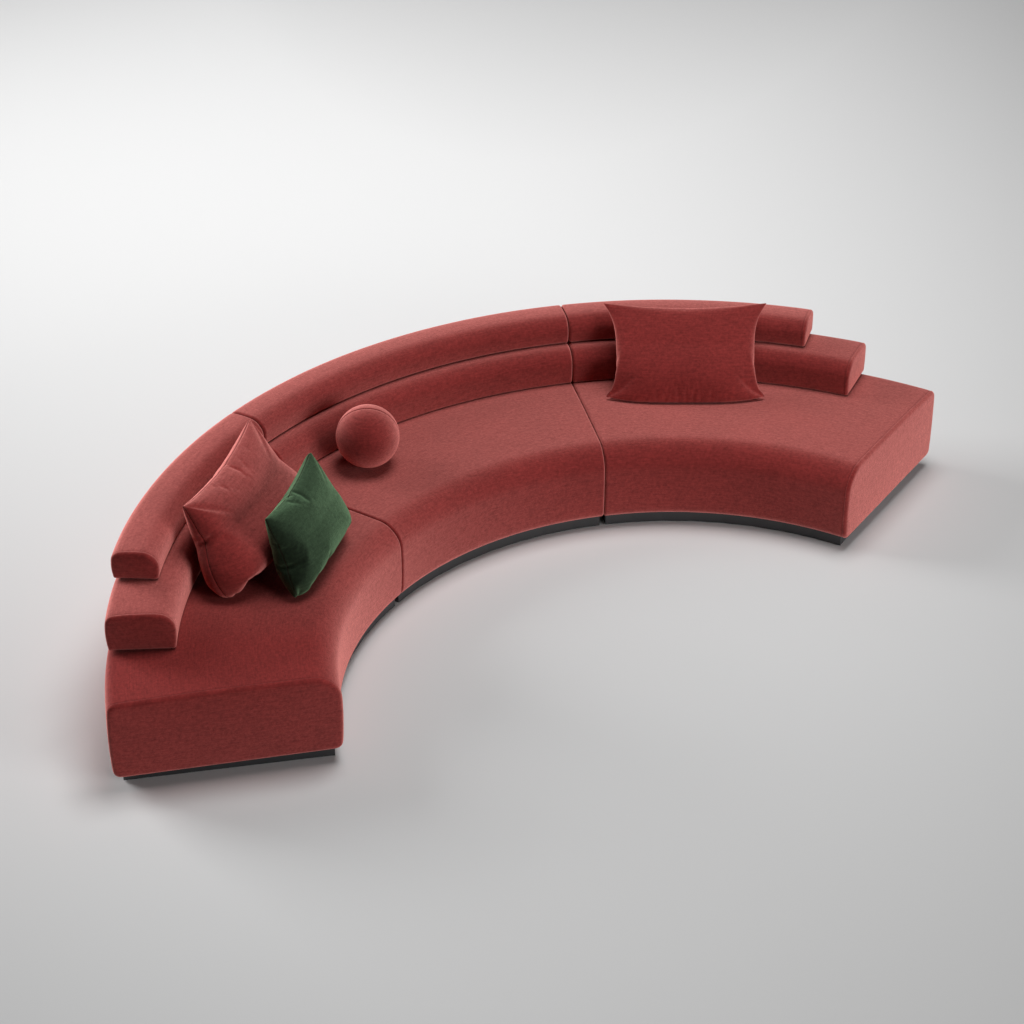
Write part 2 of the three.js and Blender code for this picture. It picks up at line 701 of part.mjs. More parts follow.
// The origin lies under the middle of the whole sofa, on the floor
const sofa = new THREE.Group();
sofa.add(ring);
const box = new THREE.Box3().setFromObject(ring, true);
const middle = box.getCenter(new THREE.Vector3());
ring.position.set(-middle.x, -middle.y, -box.min.z);

export default sofa;
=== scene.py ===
import math
from collections import namedtuple

import bmesh
import bpy
from mathutils import Matrix, Vector, noise


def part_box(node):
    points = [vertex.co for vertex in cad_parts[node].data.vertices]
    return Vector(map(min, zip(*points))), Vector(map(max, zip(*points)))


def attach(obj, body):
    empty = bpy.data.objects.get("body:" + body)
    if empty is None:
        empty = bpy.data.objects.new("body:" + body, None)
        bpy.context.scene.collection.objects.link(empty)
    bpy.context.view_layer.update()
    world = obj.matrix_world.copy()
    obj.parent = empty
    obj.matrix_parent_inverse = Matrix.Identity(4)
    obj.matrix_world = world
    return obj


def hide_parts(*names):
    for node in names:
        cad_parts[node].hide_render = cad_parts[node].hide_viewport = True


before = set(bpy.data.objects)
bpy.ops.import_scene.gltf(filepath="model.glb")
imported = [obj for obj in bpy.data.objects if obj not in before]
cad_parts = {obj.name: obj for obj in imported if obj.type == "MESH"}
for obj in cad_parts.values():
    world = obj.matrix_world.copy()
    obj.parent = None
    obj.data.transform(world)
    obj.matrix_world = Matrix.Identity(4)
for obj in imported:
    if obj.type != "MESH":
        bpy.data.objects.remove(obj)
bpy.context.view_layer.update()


# The camera looks down on the sofa from its front left, through a long lens.
# Its place and turn come from solving the photograph's view on the ring of seams and arcs.
CAMERA_PLACE = (-5.3028, -7.7582, 6.1796)
CAMERA_RIGHT = (0.81942, -0.57320, 0.0)
CAMERA_UP = (0.30651, 0.43816, 0.84502)
CAMERA_LENS_MM = 85.64
SENSOR_MM = 36.0

camera = bpy.data.objects.new("camera", bpy.data.cameras.new("camera"))
bpy.context.collection.objects.link(camera)
bpy.context.scene.camera = camera
camera.data.lens = CAMERA_LENS_MM
camera.data.sensor_width = SENSOR_MM
right, up = Vector(CAMERA_RIGHT).normalized(), Vector(CAMERA_UP).normalized()
turn = Matrix((right, up, right.cross(up))).transposed()
camera.matrix_world = Matrix.Translation(CAMERA_PLACE) @ turn.to_4x4()


# The studio: a pale seamless floor of matt paint with a painted pool of light on it that fades outwards, a
# tall soft light of two lamps behind the sofa, a low lamp in front of it, one high above, and a faint sky.
class Level:
    """A number or colour that varies over a surface. Arithmetic on it adds the nodes for it."""

    def __init__(self, finish, socket):
        self.finish = finish
        self.socket = socket

    def _maths(self, operation, first, second):
        return self.finish.add("ShaderNodeMath", {"operation": operation}, {0: first, 1: second})

    def __add__(self, other):
        return self._maths("ADD", self, other)

    def __radd__(self, other):
        return self._maths("ADD", other, self)

    def __sub__(self, other):
        return self._maths("SUBTRACT", self, other)

    def __rsub__(self, other):
        return self._maths("SUBTRACT", other, self)

    def __mul__(self, other):
        return self._maths("MULTIPLY", self, other)

    def __rmul__(self, other):
        return self._maths("MULTIPLY", other, self)

    def __pow__(self, other):
        return self._maths("POWER", self, other)


class Finish:
    """A material and its nodes, built one node at a time."""

    def __init__(self, name, **constants):
        self.material = bpy.data.materials.new(name)
        self.material.use_nodes = True
        self.tree = self.material.node_tree
        self.shader = self.tree.nodes["Principled BSDF"]
        for socket, value in constants.items():
            self.shader.inputs[socket.replace("_", " ")].default_value = value

    def add(self, kind, settings=None, inputs=None, output=0):
        """Adds a node, with values or levels on its sockets, and gives one of its outputs."""
        node = self.tree.nodes.new(kind)
        for name, value in (settings or {}).items():
            setattr(node, name, value)
        for name, value in (inputs or {}).items():
            if isinstance(value, Level):
                self.tree.links.new(value.socket, node.inputs[name])
            else:
                node.inputs[name].default_value = value
        return Level(self, node.outputs[output])

    def feed(self, **levels):
        for socket, level in levels.items():
            self.tree.links.new(level.socket, self.shader.inputs[socket.replace("_", " ")])

    def place(self):
        return self.add("ShaderNodeTexCoord", output="Object")

    def repeated(self, vector, times):
        return self.add("ShaderNodeMapping", inputs={"Vector": vector, "Scale": times})

    def cloud(self, vector, scale, detail=2.0, roughness=0.5):
        return self.add(
            "ShaderNodeTexNoise",
            inputs={"Vector": vector, "Scale": scale, "Detail": detail, "Roughness": roughness},
        )

    def bands(self, direction, scale, distortion=0.0):
        return self.add(
            "ShaderNodeTexWave",
            {"wave_type": "BANDS", "bands_direction": direction},
            {"Vector": self.place(), "Scale": scale, "Distortion": distortion},
            output="Fac",
        )

    def blend(self, factor, first, second):
        # the node has sockets of the same name for numbers, so those for colours go by their places
        return self.add(
            "ShaderNodeMix", {"data_type": "RGBA"}, {"Factor": factor, 6: first, 7: second}, output=2
        )

    def bump(self, height, strength, distance):
        return self.add(
            "ShaderNodeBump", inputs={"Height": height, "Strength": strength, "Distance": distance}
        )


def level_way(degrees):
    """The level direction at this turn from the sofa's right, leftwards as seen from above."""
    turn = math.radians(degrees)
    return Vector((math.cos(turn), math.sin(turn), 0))


FLOOR_SIZE = 60.0
BLACK, WHITE = (0, 0, 0, 1), (1, 1, 1, 1)
PAINTED_LIGHT_MIDDLE = 0.793  # how pale the painted light on the floor is just in front of the centre seat
PAINTED_LIGHT_BACKWARDS = 0.0446  # how much paler it gets per metre there
PAINTED_LIGHT_BACKWARDS_FADE = 0.0094
PAINTED_LIGHT_RIGHTWARDS = 0.0222
PAINTED_LIGHT_RIGHTWARDS_FADE = 0.0134
PAINTED_LIGHT_TWIST = 0.0217
DARKEST_PAINTED_LIGHT = 0.4
SKY_LIGHT = 0.01
LAMP_DISTANCE = 11.0
LAMP_WIDTH = 5.0
LAMPS = (
    # name, turn from the sofa's right and height above the floor in degrees, watts
    ("low key", 122.0, 12.0, 720.0),
    ("high key", 122.0, 30.0, 490.0),
    ("front", 288.0, 12.0, 630.0),
    ("top", 0.0, 80.0, 700.0),
)

shape = bmesh.new()
bmesh.ops.create_grid(shape, x_segments=1, y_segments=1, size=FLOOR_SIZE / 2)
mesh = bpy.data.meshes.new("floor")
shape.to_mesh(mesh)
shape.free()
floor = bpy.data.objects.new("floor", mesh)
bpy.context.collection.objects.link(floor)
paint = Finish("floor paint", Roughness=1.0, Specular_IOR_Level=0.0)
rightwards, backwards = (
    paint.add("ShaderNodeSeparateXYZ", inputs={"Vector": paint.place()}, output=axis) for axis in "XY"
)
# painted light: the floor's colour is made paler and darker over it, a painted pool of light that fades
# outwards
painted_light = (
    PAINTED_LIGHT_MIDDLE
    + backwards * (PAINTED_LIGHT_BACKWARDS - PAINTED_LIGHT_BACKWARDS_FADE * backwards)
    + rightwards * (PAINTED_LIGHT_RIGHTWARDS + PAINTED_LIGHT_TWIST * backwards - PAINTED_LIGHT_RIGHTWARDS_FADE * rightwards)
)
painted_light = paint.add("ShaderNodeClamp", inputs={"Value": painted_light, "Min": DARKEST_PAINTED_LIGHT, "Max": 1.0})
paint.feed(Base_Color=paint.blend(painted_light, BLACK, WHITE))
floor.data.materials.append(paint.material)

for name, turn, rise, watts in LAMPS:
    rise = math.radians(rise)
    way = level_way(turn) * math.cos(rise) + Vector((0, 0, math.sin(rise)))
    lamp = bpy.data.objects.new(name, bpy.data.lights.new(name, "AREA"))
    bpy.context.collection.objects.link(lamp)
    lamp.data.size = LAMP_WIDTH
    lamp.data.energy = watts
    lamp.location = way * LAMP_DISTANCE
    lamp.rotation_euler = way.to_track_quat("Z", "Y").to_euler()

world = bpy.data.worlds.new("studio")
bpy.context.scene.world = world
world.use_nodes = True
sky = world.node_tree.nodes["Background"].inputs
sky["Color"].default_value = WHITE
sky["Strength"].default_value = SKY_LIGHT
bpy.context.scene.view_settings.view_transform = "Standard"


# The hidden build of each module: felt glides, a lacquered plinth, a planed timber frame with elastic
# webbing, a dust cloth, timber cores in the rolls, and zinc-plated steel for the brackets and clips.
MODULES = {"left": 45.0, "centre": 0.0, "right": -45.0}  # their middles' turns on the ring, in degrees


def lacquer():
    finish = Finish("plinth lacquer")
    wear = finish.cloud(finish.place(), scale=3.0, detail=4.0, roughness=0.6)
    strokes = finish.cloud(finish.repeated(finish.place(), (1, 1, 24)), scale=14.0, detail=6.0)
    finish.feed(
        Base_Color=finish.blend(
            wear * 0.6 + strokes * 0.4, (0.022, 0.023, 0.024, 1), (0.042, 0.043, 0.045, 1)
        ),
        Roughness=strokes * 0.16 + 0.34,
        Normal=finish.bump(strokes, strength=0.15, distance=0.0006),
    )
    return finish.material


def felt():
    finish = Finish("felt", Roughness=0.95, Sheen_Weight=0.3)
    fibre = finish.cloud(finish.place(), scale=900.0, detail=3.0)
    finish.feed(
        Base_Color=finish.blend(fibre, (0.035, 0.035, 0.034, 1), (0.075, 0.073, 0.07, 1)),
        Normal=finish.bump(fibre, strength=0.5, distance=0.001),
    )
    return finish.material


def timber():
    finish = Finish("timber")
    lengthened = finish.repeated(finish.place(), (2, 2, 30))
    grain = finish.cloud(lengthened, scale=4.0, detail=8.0, roughness=0.65)
    finish.feed(
        Base_Color=finish.blend(grain, (0.42, 0.25, 0.11, 1), (0.68, 0.48, 0.27, 1)),
        Roughness=grain * 0.2 + 0.5,
        Normal=finish.bump(grain, strength=0.2, distance=0.0008),
    )
    return finish.material


def webbing():
    finish = Finish("webbing", Roughness=0.85)
    weave = finish.bands("DIAGONAL", scale=160.0, distortion=0.4)
    finish.feed(
        Base_Color=finish.blend(weave, (0.018, 0.018, 0.022, 1), (0.05, 0.05, 0.06, 1)),
        Normal=finish.bump(weave, strength=0.4, distance=0.0008),
    )
    return finish.material


def dust_cloth():
    finish = Finish("dust cloth", Roughness=0.95)
    fibre = finish.cloud(finish.place(), scale=260.0, detail=4.0, roughness=0.7)
    finish.feed(
        Base_Color=finish.blend(fibre, (0.012, 0.012, 0.013, 1), (0.032, 0.032, 0.034, 1)),
        Normal=finish.bump(fibre, strength=0.3, distance=0.0005),
    )
    return finish.material


def zinc():
    finish = Finish("zinc steel", Metallic=0.9)
    spangle = finish.cloud(finish.place(), scale=45.0, detail=3.0, roughness=0.6)
    finish.feed(
        Base_Color=finish.blend(spangle, (0.40, 0.41, 0.42, 1), (0.58, 0.59, 0.6, 1)),
        Roughness=spangle * 0.2 + 0.3,
    )
    return finish.material


FELT, TIMBER, ZINC = felt(), timber(), zinc()
HIDDEN_BUILD = {
    "plinth": lacquer(),
    "front_glide": FELT,
    "rear_glide": FELT,
    "seat_frame": TIMBER,
    "seat_webbing": webbing(),
    "dust_cloth": dust_cloth(),
    "lower_roll_core": TIMBER,
    "upper_roll_core": TIMBER,
    "back_bracket": ZINC,
}
for module in MODULES:
    for part, material in HIDDEN_BUILD.items():
        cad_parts[f"{module}_{part}"].material_slots[0].material = material
for clip in ("left_clip_jaw", "left_clip_tongue", "right_clip_jaw", "right_clip_tongue"):
    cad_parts[clip].material_slots[0].material = ZINC


# The seats and the two back rolls of each module: foam blocks in tight velvet covers, stapled to the timber.
# Each is a rounded section drawn round the ring, closed by end panels. Those on the free ends are sewn in
# just past the rounded edge, and swell a little.
Block = namedtuple("Block", "front back foot top rounds free_round seam_round short_deg lip")
End = namedtuple("End", "turn_deg outward base round swell stitched")

RING_Y = -1.484124
RING_CENTRE = Vector((0, RING_Y, 0))
MODULE_HALF_DEG = 22.5
SEAM_HALF_GAP = 0.0015
REST_GAP = 0.0003  # between pieces that rest on one another
PLINTH_TOP = 0.060
SEAT_TOP = 0.430
LOWER_ROLL_TOP = 0.602
ROLL_BACK = 2.396
LIP_WIDTH = 0.055  # velvet turned in under a seat, round the dust cloth
LIP_DEPTH = 0.006
LIP_EDGE = 0.001
BLOCKS = {
    # front, back: distances from the ring's axis. rounds: of the section's corners, from the front foot by
    # the back. free_round, seam_round: of the ends' edges. short_deg: how far the free end stops short.
    "seat": Block(
        front=1.460,
        back=2.405,
        foot=PLINTH_TOP + REST_GAP,
        top=SEAT_TOP,
        rounds=(0.03, 0.03, 0.034, 0.108),
        free_round=0.017,
        seam_round=0.010,
        short_deg=0.0,
        lip=LIP_WIDTH,
    ),
    "lower_roll": Block(
        front=2.106,
        back=ROLL_BACK,
        foot=SEAT_TOP + REST_GAP,
        top=LOWER_ROLL_TOP,
        rounds=(0.009, 0.009, 0.028, 0.060),
        free_round=0.014,
        seam_round=0.012,
        short_deg=8.75,
        lip=0.0,
    ),
    "upper_roll": Block(
        front=2.193,
        back=ROLL_BACK,
        foot=LOWER_ROLL_TOP + REST_GAP,
        top=0.733,
        rounds=(0.014, 0.009, 0.028, 0.056),
        free_round=0.014,
        seam_round=0.012,
        short_deg=15.25,
        lip=0.0,
    ),
}
CROWN = 0.008  # how far the foam fills out each face
SECTION_STEP = 0.03
ROUND_STEP = 0.012
LEAST_ROUND_STEPS = 4
RING_STEP_DEG = 1.5
END_STEPS = 4
PANEL_CUTS = 6
PANEL_SWELL = 0.006
PANEL_FULLNESS = 0.7  # under 1 the swelling is flatter in the middle
STITCH_FROM_ROUND = 0.004
STITCH_HALF_WIDTH = 0.0026
STITCH_DEPTH = 0.002
END_SEAM_SHADE = 0.35
CONTACT_SHADE_HEIGHT = 0.005
UNEVEN = 0.0012
UNEVEN_SCALE = 3.0
ON_PLANE = 1e-4
# where the painted shade on the left seat's top begins and where it is full, in degrees round the ring
END_SHADE_FROM_DEG = 30.0
END_SHADE_TO_DEG = 58.0
WEFT = (14, 120, 1)
BROAD_SHADE, PATCH_SHADE, STREAK_SHADE = 0.6, 1.6, 1.3  # how much of the shade each pattern gives
SHADE_BASE = 1.25
PATCH_TIPS, STREAK_TIPS = 1.2, 0.9
TIPS_BASE = 0.05
TIPS_POWER = 1.9
TIPS_SHARE = 1.12
SEAM_SHADE = (0.02, 0.005, 0.005, 1)


def velvet(name, dark, light, tips, tint, sheen):
    """Brushed pile: dark when looked into, lighter where its tips show from the side, and dark in seams.

    The vertices' "sewn" says how deep in a seam or crease the pile is, and paints it dark there:
    dark thread and painted shade in seams, painted shade in creases. "laid" is painted shade that
    takes the lighter tips away.
    """
    finish = Finish(
        name, Specular_IOR_Level=0.1, Sheen_Weight=sheen, Sheen_Roughness=0.4, Sheen_Tint=tint
    )
    place = finish.place()
    cloth = finish.add("ShaderNodeTexCoord", output="UV")
    sewn = finish.add("ShaderNodeAttribute", {"attribute_name": "sewn"}, output="Fac")
    laid = finish.add("ShaderNodeAttribute", {"attribute_name": "laid"}, output="Fac")
    broad = finish.cloud(place, scale=3.2, detail=3.0, roughness=0.6)
    patch = finish.cloud(place, scale=70.0, detail=4.0, roughness=0.75)
    streak = finish.cloud(finish.repeated(cloth, WEFT), scale=1.0, detail=5.0, roughness=0.75)
    pile = finish.cloud(place, scale=1400.0)
    shade = broad * BROAD_SHADE + patch * PATCH_SHADE + streak * STREAK_SHADE - SHADE_BASE
    relief = finish.bump(pile * 0.4 + streak + patch * 1.2, strength=0.45, distance=0.0016)
    finish.feed(
        Base_Color=finish.blend(sewn, finish.blend(shade, dark, light), SEAM_SHADE),
        Roughness=patch * 0.12 + 0.82,
        Normal=relief,
    )
    turned = finish.add("ShaderNodeLayerWeight", {}, {"Blend": 0.5, "Normal": relief}, output="Facing")
    brushing = (patch * PATCH_TIPS + streak * STREAK_TIPS - TIPS_BASE) * (1 - laid)
    brushed = finish.add(
        "ShaderNodeBsdfPrincipled",
        inputs={"Base Color": tips, "Roughness": 1.0, "Specular IOR Level": 0.0},
    )
    both = finish.add(
        "ShaderNodeMixShader",
        inputs={
            0: turned**TIPS_POWER * TIPS_SHARE * brushing * (1 - sewn),
            1: Level(finish, finish.shader.outputs[0]),
            2: brushed,
        },
    )
    finish.tree.links.new(both.socket, finish.tree.nodes["Material Output"].inputs["Surface"])
    return finish.material


RED_VELVET = velvet(
    "red velvet",
    dark=(0.130, 0.0155, 0.0145, 1),
    light=(0.300, 0.036, 0.033, 1),
    tips=(0.82, 0.28, 0.25, 1),
    tint=(1.0, 0.42, 0.39, 1),
    sheen=0.22,
)


def quarter_turn(way):
    """The level direction a quarter turn leftwards of this one."""
    return Vector((-way.y, way.x, 0))


def out_from_ring(vert):
    """A point's distance from the ring's axis."""
    return math.hypot(vert.co.x, vert.co.y - RING_Y)


def round_ring(vert):
    """A point's turn round the ring's axis, from the sofa's right, in radians."""
    return math.atan2(vert.co.y - RING_Y, vert.co.x)


def cut(shape, place, facing, geometry=None, **more):
    geometry = geometry or shape.verts[:] + shape.edges[:] + shape.faces[:]
    bmesh.ops.bisect_plane(shape, geom=geometry, dist=1e-6, plane_co=place, plane_no=facing, **more)


def end_of(block, module, side, way):
    """One end of a module's block: a free one, swollen and stitched, or a plain one at a seam."""
    if module == side:
        turn, gap = MODULES[module] + way * (MODULE_HALF_DEG - block.short_deg), 0.0
        soft, swell, stitched = block.free_round, PANEL_SWELL, STITCH_DEPTH
    else:
        turn, gap = MODULES[module] + way * MODULE_HALF_DEG, SEAM_HALF_GAP
        soft, swell, stitched = block.seam_round, 0.0, 0.0
    outward = quarter_turn(level_way(90 + turn)) * way
    return End(turn, outward, RING_CENTRE - outward * gap, soft, swell, stitched)


def section_of(block, turn_deg):
    """The outline of a block's section at this turn: its corners rounded, its faces filled out."""
    near, far, shoulder = block.front + CROWN, block.back - CROWN, block.top - CROWN
    out = level_way(90 + turn_deg)
    shape = bmesh.new()
    shape.verts.layers.float.new("laid")
    shape.verts.layers.float.new("sewn")
    under = [near, block.front + block.lip, block.back - block.lip, far]
    corners = [(radius, block.foot) for radius in (under if block.lip else under[::3])]
    corners += [(far, shoulder), (near, shoulder)]
    verts = [shape.verts.new(out * r + Vector((0, RING_Y, z))) for r, z in corners]
    shape.faces.new(verts)
    for vert, size in zip([verts[0]] + verts[-3:], block.rounds):
        bmesh.ops.bevel(
            shape,
            geom=[vert],
            offset=size,
            offset_type="OFFSET",
            segments=max(LEAST_ROUND_STEPS, int(size / ROUND_STEP)),
            profile=0.5,
            affect="VERTICES",
            material=-1,
        )
    for edge in list(shape.edges):
        cuts = int(edge.calc_length() / SECTION_STEP)
        if cuts:
            bmesh.ops.subdivide_edges(shape, edges=[edge], cuts=cuts)
    for vert in shape.verts:
        radius, height = out_from_ring(vert), vert.co.z
        across = (radius - near) / (far - near) * 2 - 1
        rise = (height - block.foot) / (shoulder - block.foot) * 2 - 1
        vert.co += out * (math.copysign(CROWN, across) * across**2 * (1 - rise * rise))
        if height > (block.foot + shoulder) / 2:
            vert.co.z += CROWN * (1 - across * across) * (rise * rise)
    bmesh.ops.delete(shape, geom=shape.faces[:], context="FACES_ONLY")
    return shape


def rounded_end(shape, end, panel):
    """Rounds the edge of an end's panel, by insets that follow a quarter circle."""
    for step in range(END_STEPS):
        start, stop = (math.pi / 2 * (step + i) / END_STEPS for i in (0, 1))
        bmesh.ops.inset_region(
            shape,
            faces=panel,
            thickness=end.round * (math.cos(start) - math.cos(stop)),
            depth=end.round * (math.sin(stop) - math.sin(start)),
            use_even_offset=True,
        )


def swollen_end(shape, block, end):
    """Cuts an end's flat panel into a grid and swells it out between its edges."""

    def on_panel(vert):
        return abs((vert.co - end.base).dot(end.outward)) < ON_PLANE

    for i in range(1, PANEL_CUTS):
        for axis, low, high in (
            (level_way(90 + end.turn_deg), block.front, block.back),
            (Vector((0, 0, 1)), block.foot, block.top),
        ):
            faces = [face for face in shape.faces if all(map(on_panel, face.verts))]
            edges = {edge for face in faces for edge in face.edges}
            verts = {vert for face in faces for vert in face.verts}
            place = RING_CENTRE + axis * (low + (high - low) * i / PANEL_CUTS)
            cut(shape, place, axis, geometry=[*verts, *edges, *faces])
    width, height = block.back - block.front, block.top - block.foot
    for vert in shape.verts:
        if on_panel(vert):
            across = (out_from_ring(vert) - block.front - end.round) / (width - 2 * end.round)
            rise = (vert.co.z - block.foot - end.round) / (height - 2 * end.round)
            share = 16 * across * (1 - across) * rise * (1 - rise)  # 0 at the edges, 1 in the middle
            vert.co += end.outward * end.swell * max(share, 0.0) ** PANEL_FULLNESS


def turned_in(shape, block, ends):
    """Sinks the middle of a seat's underside, inside the lip of velvet that is turned in."""
    low, high = block.front + block.lip - ON_PLANE, block.back - block.lip + ON_PLANE
    under = [
        face
        for face in shape.faces
        if face.normal.z < -0.99
        and all(low < out_from_ring(vert) < high for vert in face.verts)
        and all((end.base - face.calc_center_median()).dot(end.outward) > block.lip for end in ends)
    ]
    bmesh.ops.inset_region(
        shape, faces=under, thickness=LIP_EDGE, depth=-LIP_DEPTH, use_even_offset=True
    )


def lay_cloth(shape, block, ends):
    """Gives the velvet's weave its run: round the ring and over the block, and upright on the right end."""
    middle = (block.front + block.back) / 2
    cloth = shape.loops.layers.uv.new("cloth")
    for face in shape.faces:
        centre = face.calc_center_median()
        left_end, right_end = (
            (end.base - centre).dot(end.outward) < end.round + STITCH_FROM_ROUND for end in ends
        )
        for loop in face.loops:
            radius, height = out_from_ring(loop.vert), loop.vert.co.z
            if left_end:
                loop[cloth].uv = (radius, height)
            elif right_end:
                loop[cloth].uv = (height, radius)
            else:
                over = radius + height if radius < middle else radius - height + 2 * block.top
                loop[cloth].uv = (round_ring(loop.vert) * middle, over)


def upholstered(block, ends):
    """A tight cover over a block of foam, drawn round the ring from its left end to its right one."""
    shape = section_of(block, ends[0].turn_deg)
    span = ends[1].turn_deg - ends[0].turn_deg
    bmesh.ops.spin(
        shape,
        geom=shape.verts[:] + shape.edges[:],
        cent=RING_CENTRE,
        axis=(0, 0, 1),
        angle=math.radians(span),
        steps=round(abs(span) / RING_STEP_DEG),
        use_merge=False,
        use_duplicate=False,
    )
    for end in ends:
        cut(shape, end.base - end.outward * end.round, end.outward, clear_outer=True)
        for off in (-STITCH_HALF_WIDTH, 0, STITCH_HALF_WIDTH):
            place = end.base - end.outward * (end.round + STITCH_FROM_ROUND + off)
            cut(shape, place, end.outward)
        if block.lip:
            cut(shape, end.base - end.outward * block.lip, end.outward)
    rims = [edge for edge in shape.edges if edge.is_boundary]
    panels = bmesh.ops.holes_fill(shape, edges=rims, sides=0)["faces"]
    bmesh.ops.recalc_face_normals(shape, faces=shape.faces)
    for end in ends:
        rim_place = end.base - end.outward * end.round
        panel = [f for f in panels if abs((f.calc_center_median() - rim_place).dot(end.outward)) < 1e-3]
        rounded_end(shape, end, panel)
    for end in ends:
        swollen_end(shape, block, end)
    shape.normal_update()
    sewn = shape.verts.layers.float["sewn"]
    # the stitches on the free ends are sunk and painted dark, as dark thread and painted shade in the groove
    for end in ends:
        for vert in shape.verts:
            inward = (end.base - vert.co).dot(end.outward)
            if abs(inward - end.round - STITCH_FROM_ROUND) < ON_PLANE / 10:
                vert.co -= vert.normal * end.stitched
                vert[sewn] = END_SEAM_SHADE * float(end.stitched > 0)
    if block.lip:
        turned_in(shape, block, ends)
    else:
        # painted shade along the foot of each roll, where it rests on the piece below
        for vert in shape.verts:
            if vert.co.z < block.foot + CONTACT_SHADE_HEIGHT:
                vert[sewn] = 1.0
    for vert in shape.verts:
        wave = 0.5 + 0.5 * noise.noise(vert.co * UNEVEN_SCALE)
        vert.co -= vert.normal * UNEVEN * wave
    lay_cloth(shape, block, ends)
    return shape


def finished(name, shape, material, body, replaced, slot):
    """The finished object of a bmesh, which rides its body in place of the plain solids."""
    mesh = bpy.data.meshes.new(name)
    shape.to_mesh(mesh)
    shape.free()
    for polygon in mesh.polygons:
        polygon.use_smooth = True
    mesh.materials.append(material)
    piece = bpy.data.objects.new(name, mesh)
    bpy.context.collection.objects.link(piece)
    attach(piece, body)
    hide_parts(*replaced)
    return piece


def smoothed(piece):
    smoothing = piece.modifiers.new("smoothing", "SUBSURF")
    smoothing.levels = smoothing.render_levels = 1


for module in MODULES:
    for part, block in BLOCKS.items():
        ends = [end_of(block, module, side, way) for side, way in (("left", 1), ("right", -1))]
        piece = finished(
            f"{module}_{part}_upholstery",
            upholstered(block, ends),
            RED_VELVET,
            f"{module}_module",
            (f"{module}_{part}_cover", f"{module}_{part}_foam"),
            "red_velvet",
        )
        smoothed(piece)
# the left seat's top is painted darker towards its free end, a painted shade that takes its lighter pile
# tips away
seat = bpy.data.objects["left_seat_upholstery"].data
for vert, laid in zip(seat.vertices, seat.attributes["laid"].data):
    share = (math.degrees(round_ring(vert)) - 90 - END_SHADE_FROM_DEG) / (END_SHADE_TO_DEG - END_SHADE_FROM_DEG)
    laid.value = min(max(share, 0), 1) * min(max(vert.normal.z, 0), 1)


# The three long cushions: each is two velvet panels sewn edge to edge round a loose fill that has slumped
# low, with a zip in the seam at the foot. Flat panels are blown up by the cloth solver while they lean on
# the seat and the rolls, held by their corners and, on the right one, by most of the foot seam.
Cushion = namedtuple(
    "Cushion",
    "width height middle yaw_deg lean_deg forward top_slack foot_slack top_fill "
    "pinch flare tucked wider fatter crest",
)
SLUMPED = dict(  # as the left and the green cushion both have it
    forward=-0.035,
    top_slack=0.02,
    foot_slack=0.19,
    top_fill=0.55,
    pinch=0.0,
    flare=0.0,
    tucked=0.0,
)
CUSHIONS = {
    # forward: how far the foot is bent to the front. top_slack, foot_slack: how loose the cloth is there.
    # top_fill: how full the top is. pinch, flare: how far the sides are drawn in and the top corners out.
    # tucked: how much of the foot seam is held. wider, fatter: how far the low half has slumped sideways and
    # to the front. crest: how far the middle of the top seam is plumped up.
    "left_cushion": Cushion(
        width=0.76,
        height=0.45,
        middle=Vector((-1.1991, 0.1305, 0.6365)),
        yaw_deg=38.8,
        lean_deg=26.0,
        wider=0.14,
        fatter=0.8,
        crest=0.035,
        **SLUMPED,
    ),
    "green_cushion": Cushion(
        width=0.565,
        height=0.385,
        middle=Vector((-1.0448, -0.1175, 0.6193)),
        yaw_deg=39.6,
        lean_deg=16.0,
        wider=0.08,
        fatter=0.2,
        crest=0.012,
        **SLUMPED,
    ),
    "right_cushion": Cushion(
        width=0.76,
        height=0.45,
        middle=Vector((1.2289, 0.1408, 0.6317)),
        yaw_deg=-34.9,
        lean_deg=34.5,
        forward=0.045,
        top_slack=-0.004,
        foot_slack=0.03,
        top_fill=0.5,
        pinch=0.092,
        flare=0.045,
        tucked=0.8,
        wider=0.0,
        fatter=0.25,
        crest=0.0,
    ),
}
PANEL_STEP = 0.009
EASE = 0.002
FOOT_HEIGHT = 0.35  # the share of a cushion's height that is bent at the foot
INFLATE_FRAMES = 24
FILL_PRESSURE = 28.0
SAG = 0.1
CLOTH_THICKNESS = 0.002
LOW_SHARE = 0.55  # the share of its height that has slumped
PINCH_TOP_POWER = 3
PINCH_FOOT_POWER = 8
ZIP_WIDTH = 0.010
ZIP_THICKNESS = 0.0012
ZIP_LENGTH_SHARE = 0.5
SEAM_WIDTH = 0.0045
SEAM_DEPTH = 0.0045
GREEN_VELVET = velvet(
    "green velvet",
    dark=(0.005, 0.008, 0.0045, 1),
    light=(0.017, 0.030, 0.015, 1),
    tips=(0.16, 0.27, 0.15, 1),
    tint=(0.5, 1.0, 0.55, 1),
    sheen=0.2,
)


def zip_tape(name, dark, light):
    finish = Finish(name, Roughness=0.6)
    teeth = finish.bands("X", scale=220.0)
    finish.feed(
        Base_Color=finish.blend(teeth, dark, light),
        Normal=finish.bump(teeth, strength=0.6, distance=0.001),
    )
    return finish.material


RED_ZIP = zip_tape("red zip", (0.09, 0.03, 0.028, 1), (0.2, 0.075, 0.07, 1))
GREEN_ZIP = zip_tape("green zip", (0.015, 0.04, 0.02, 1), (0.04, 0.09, 0.05, 1))


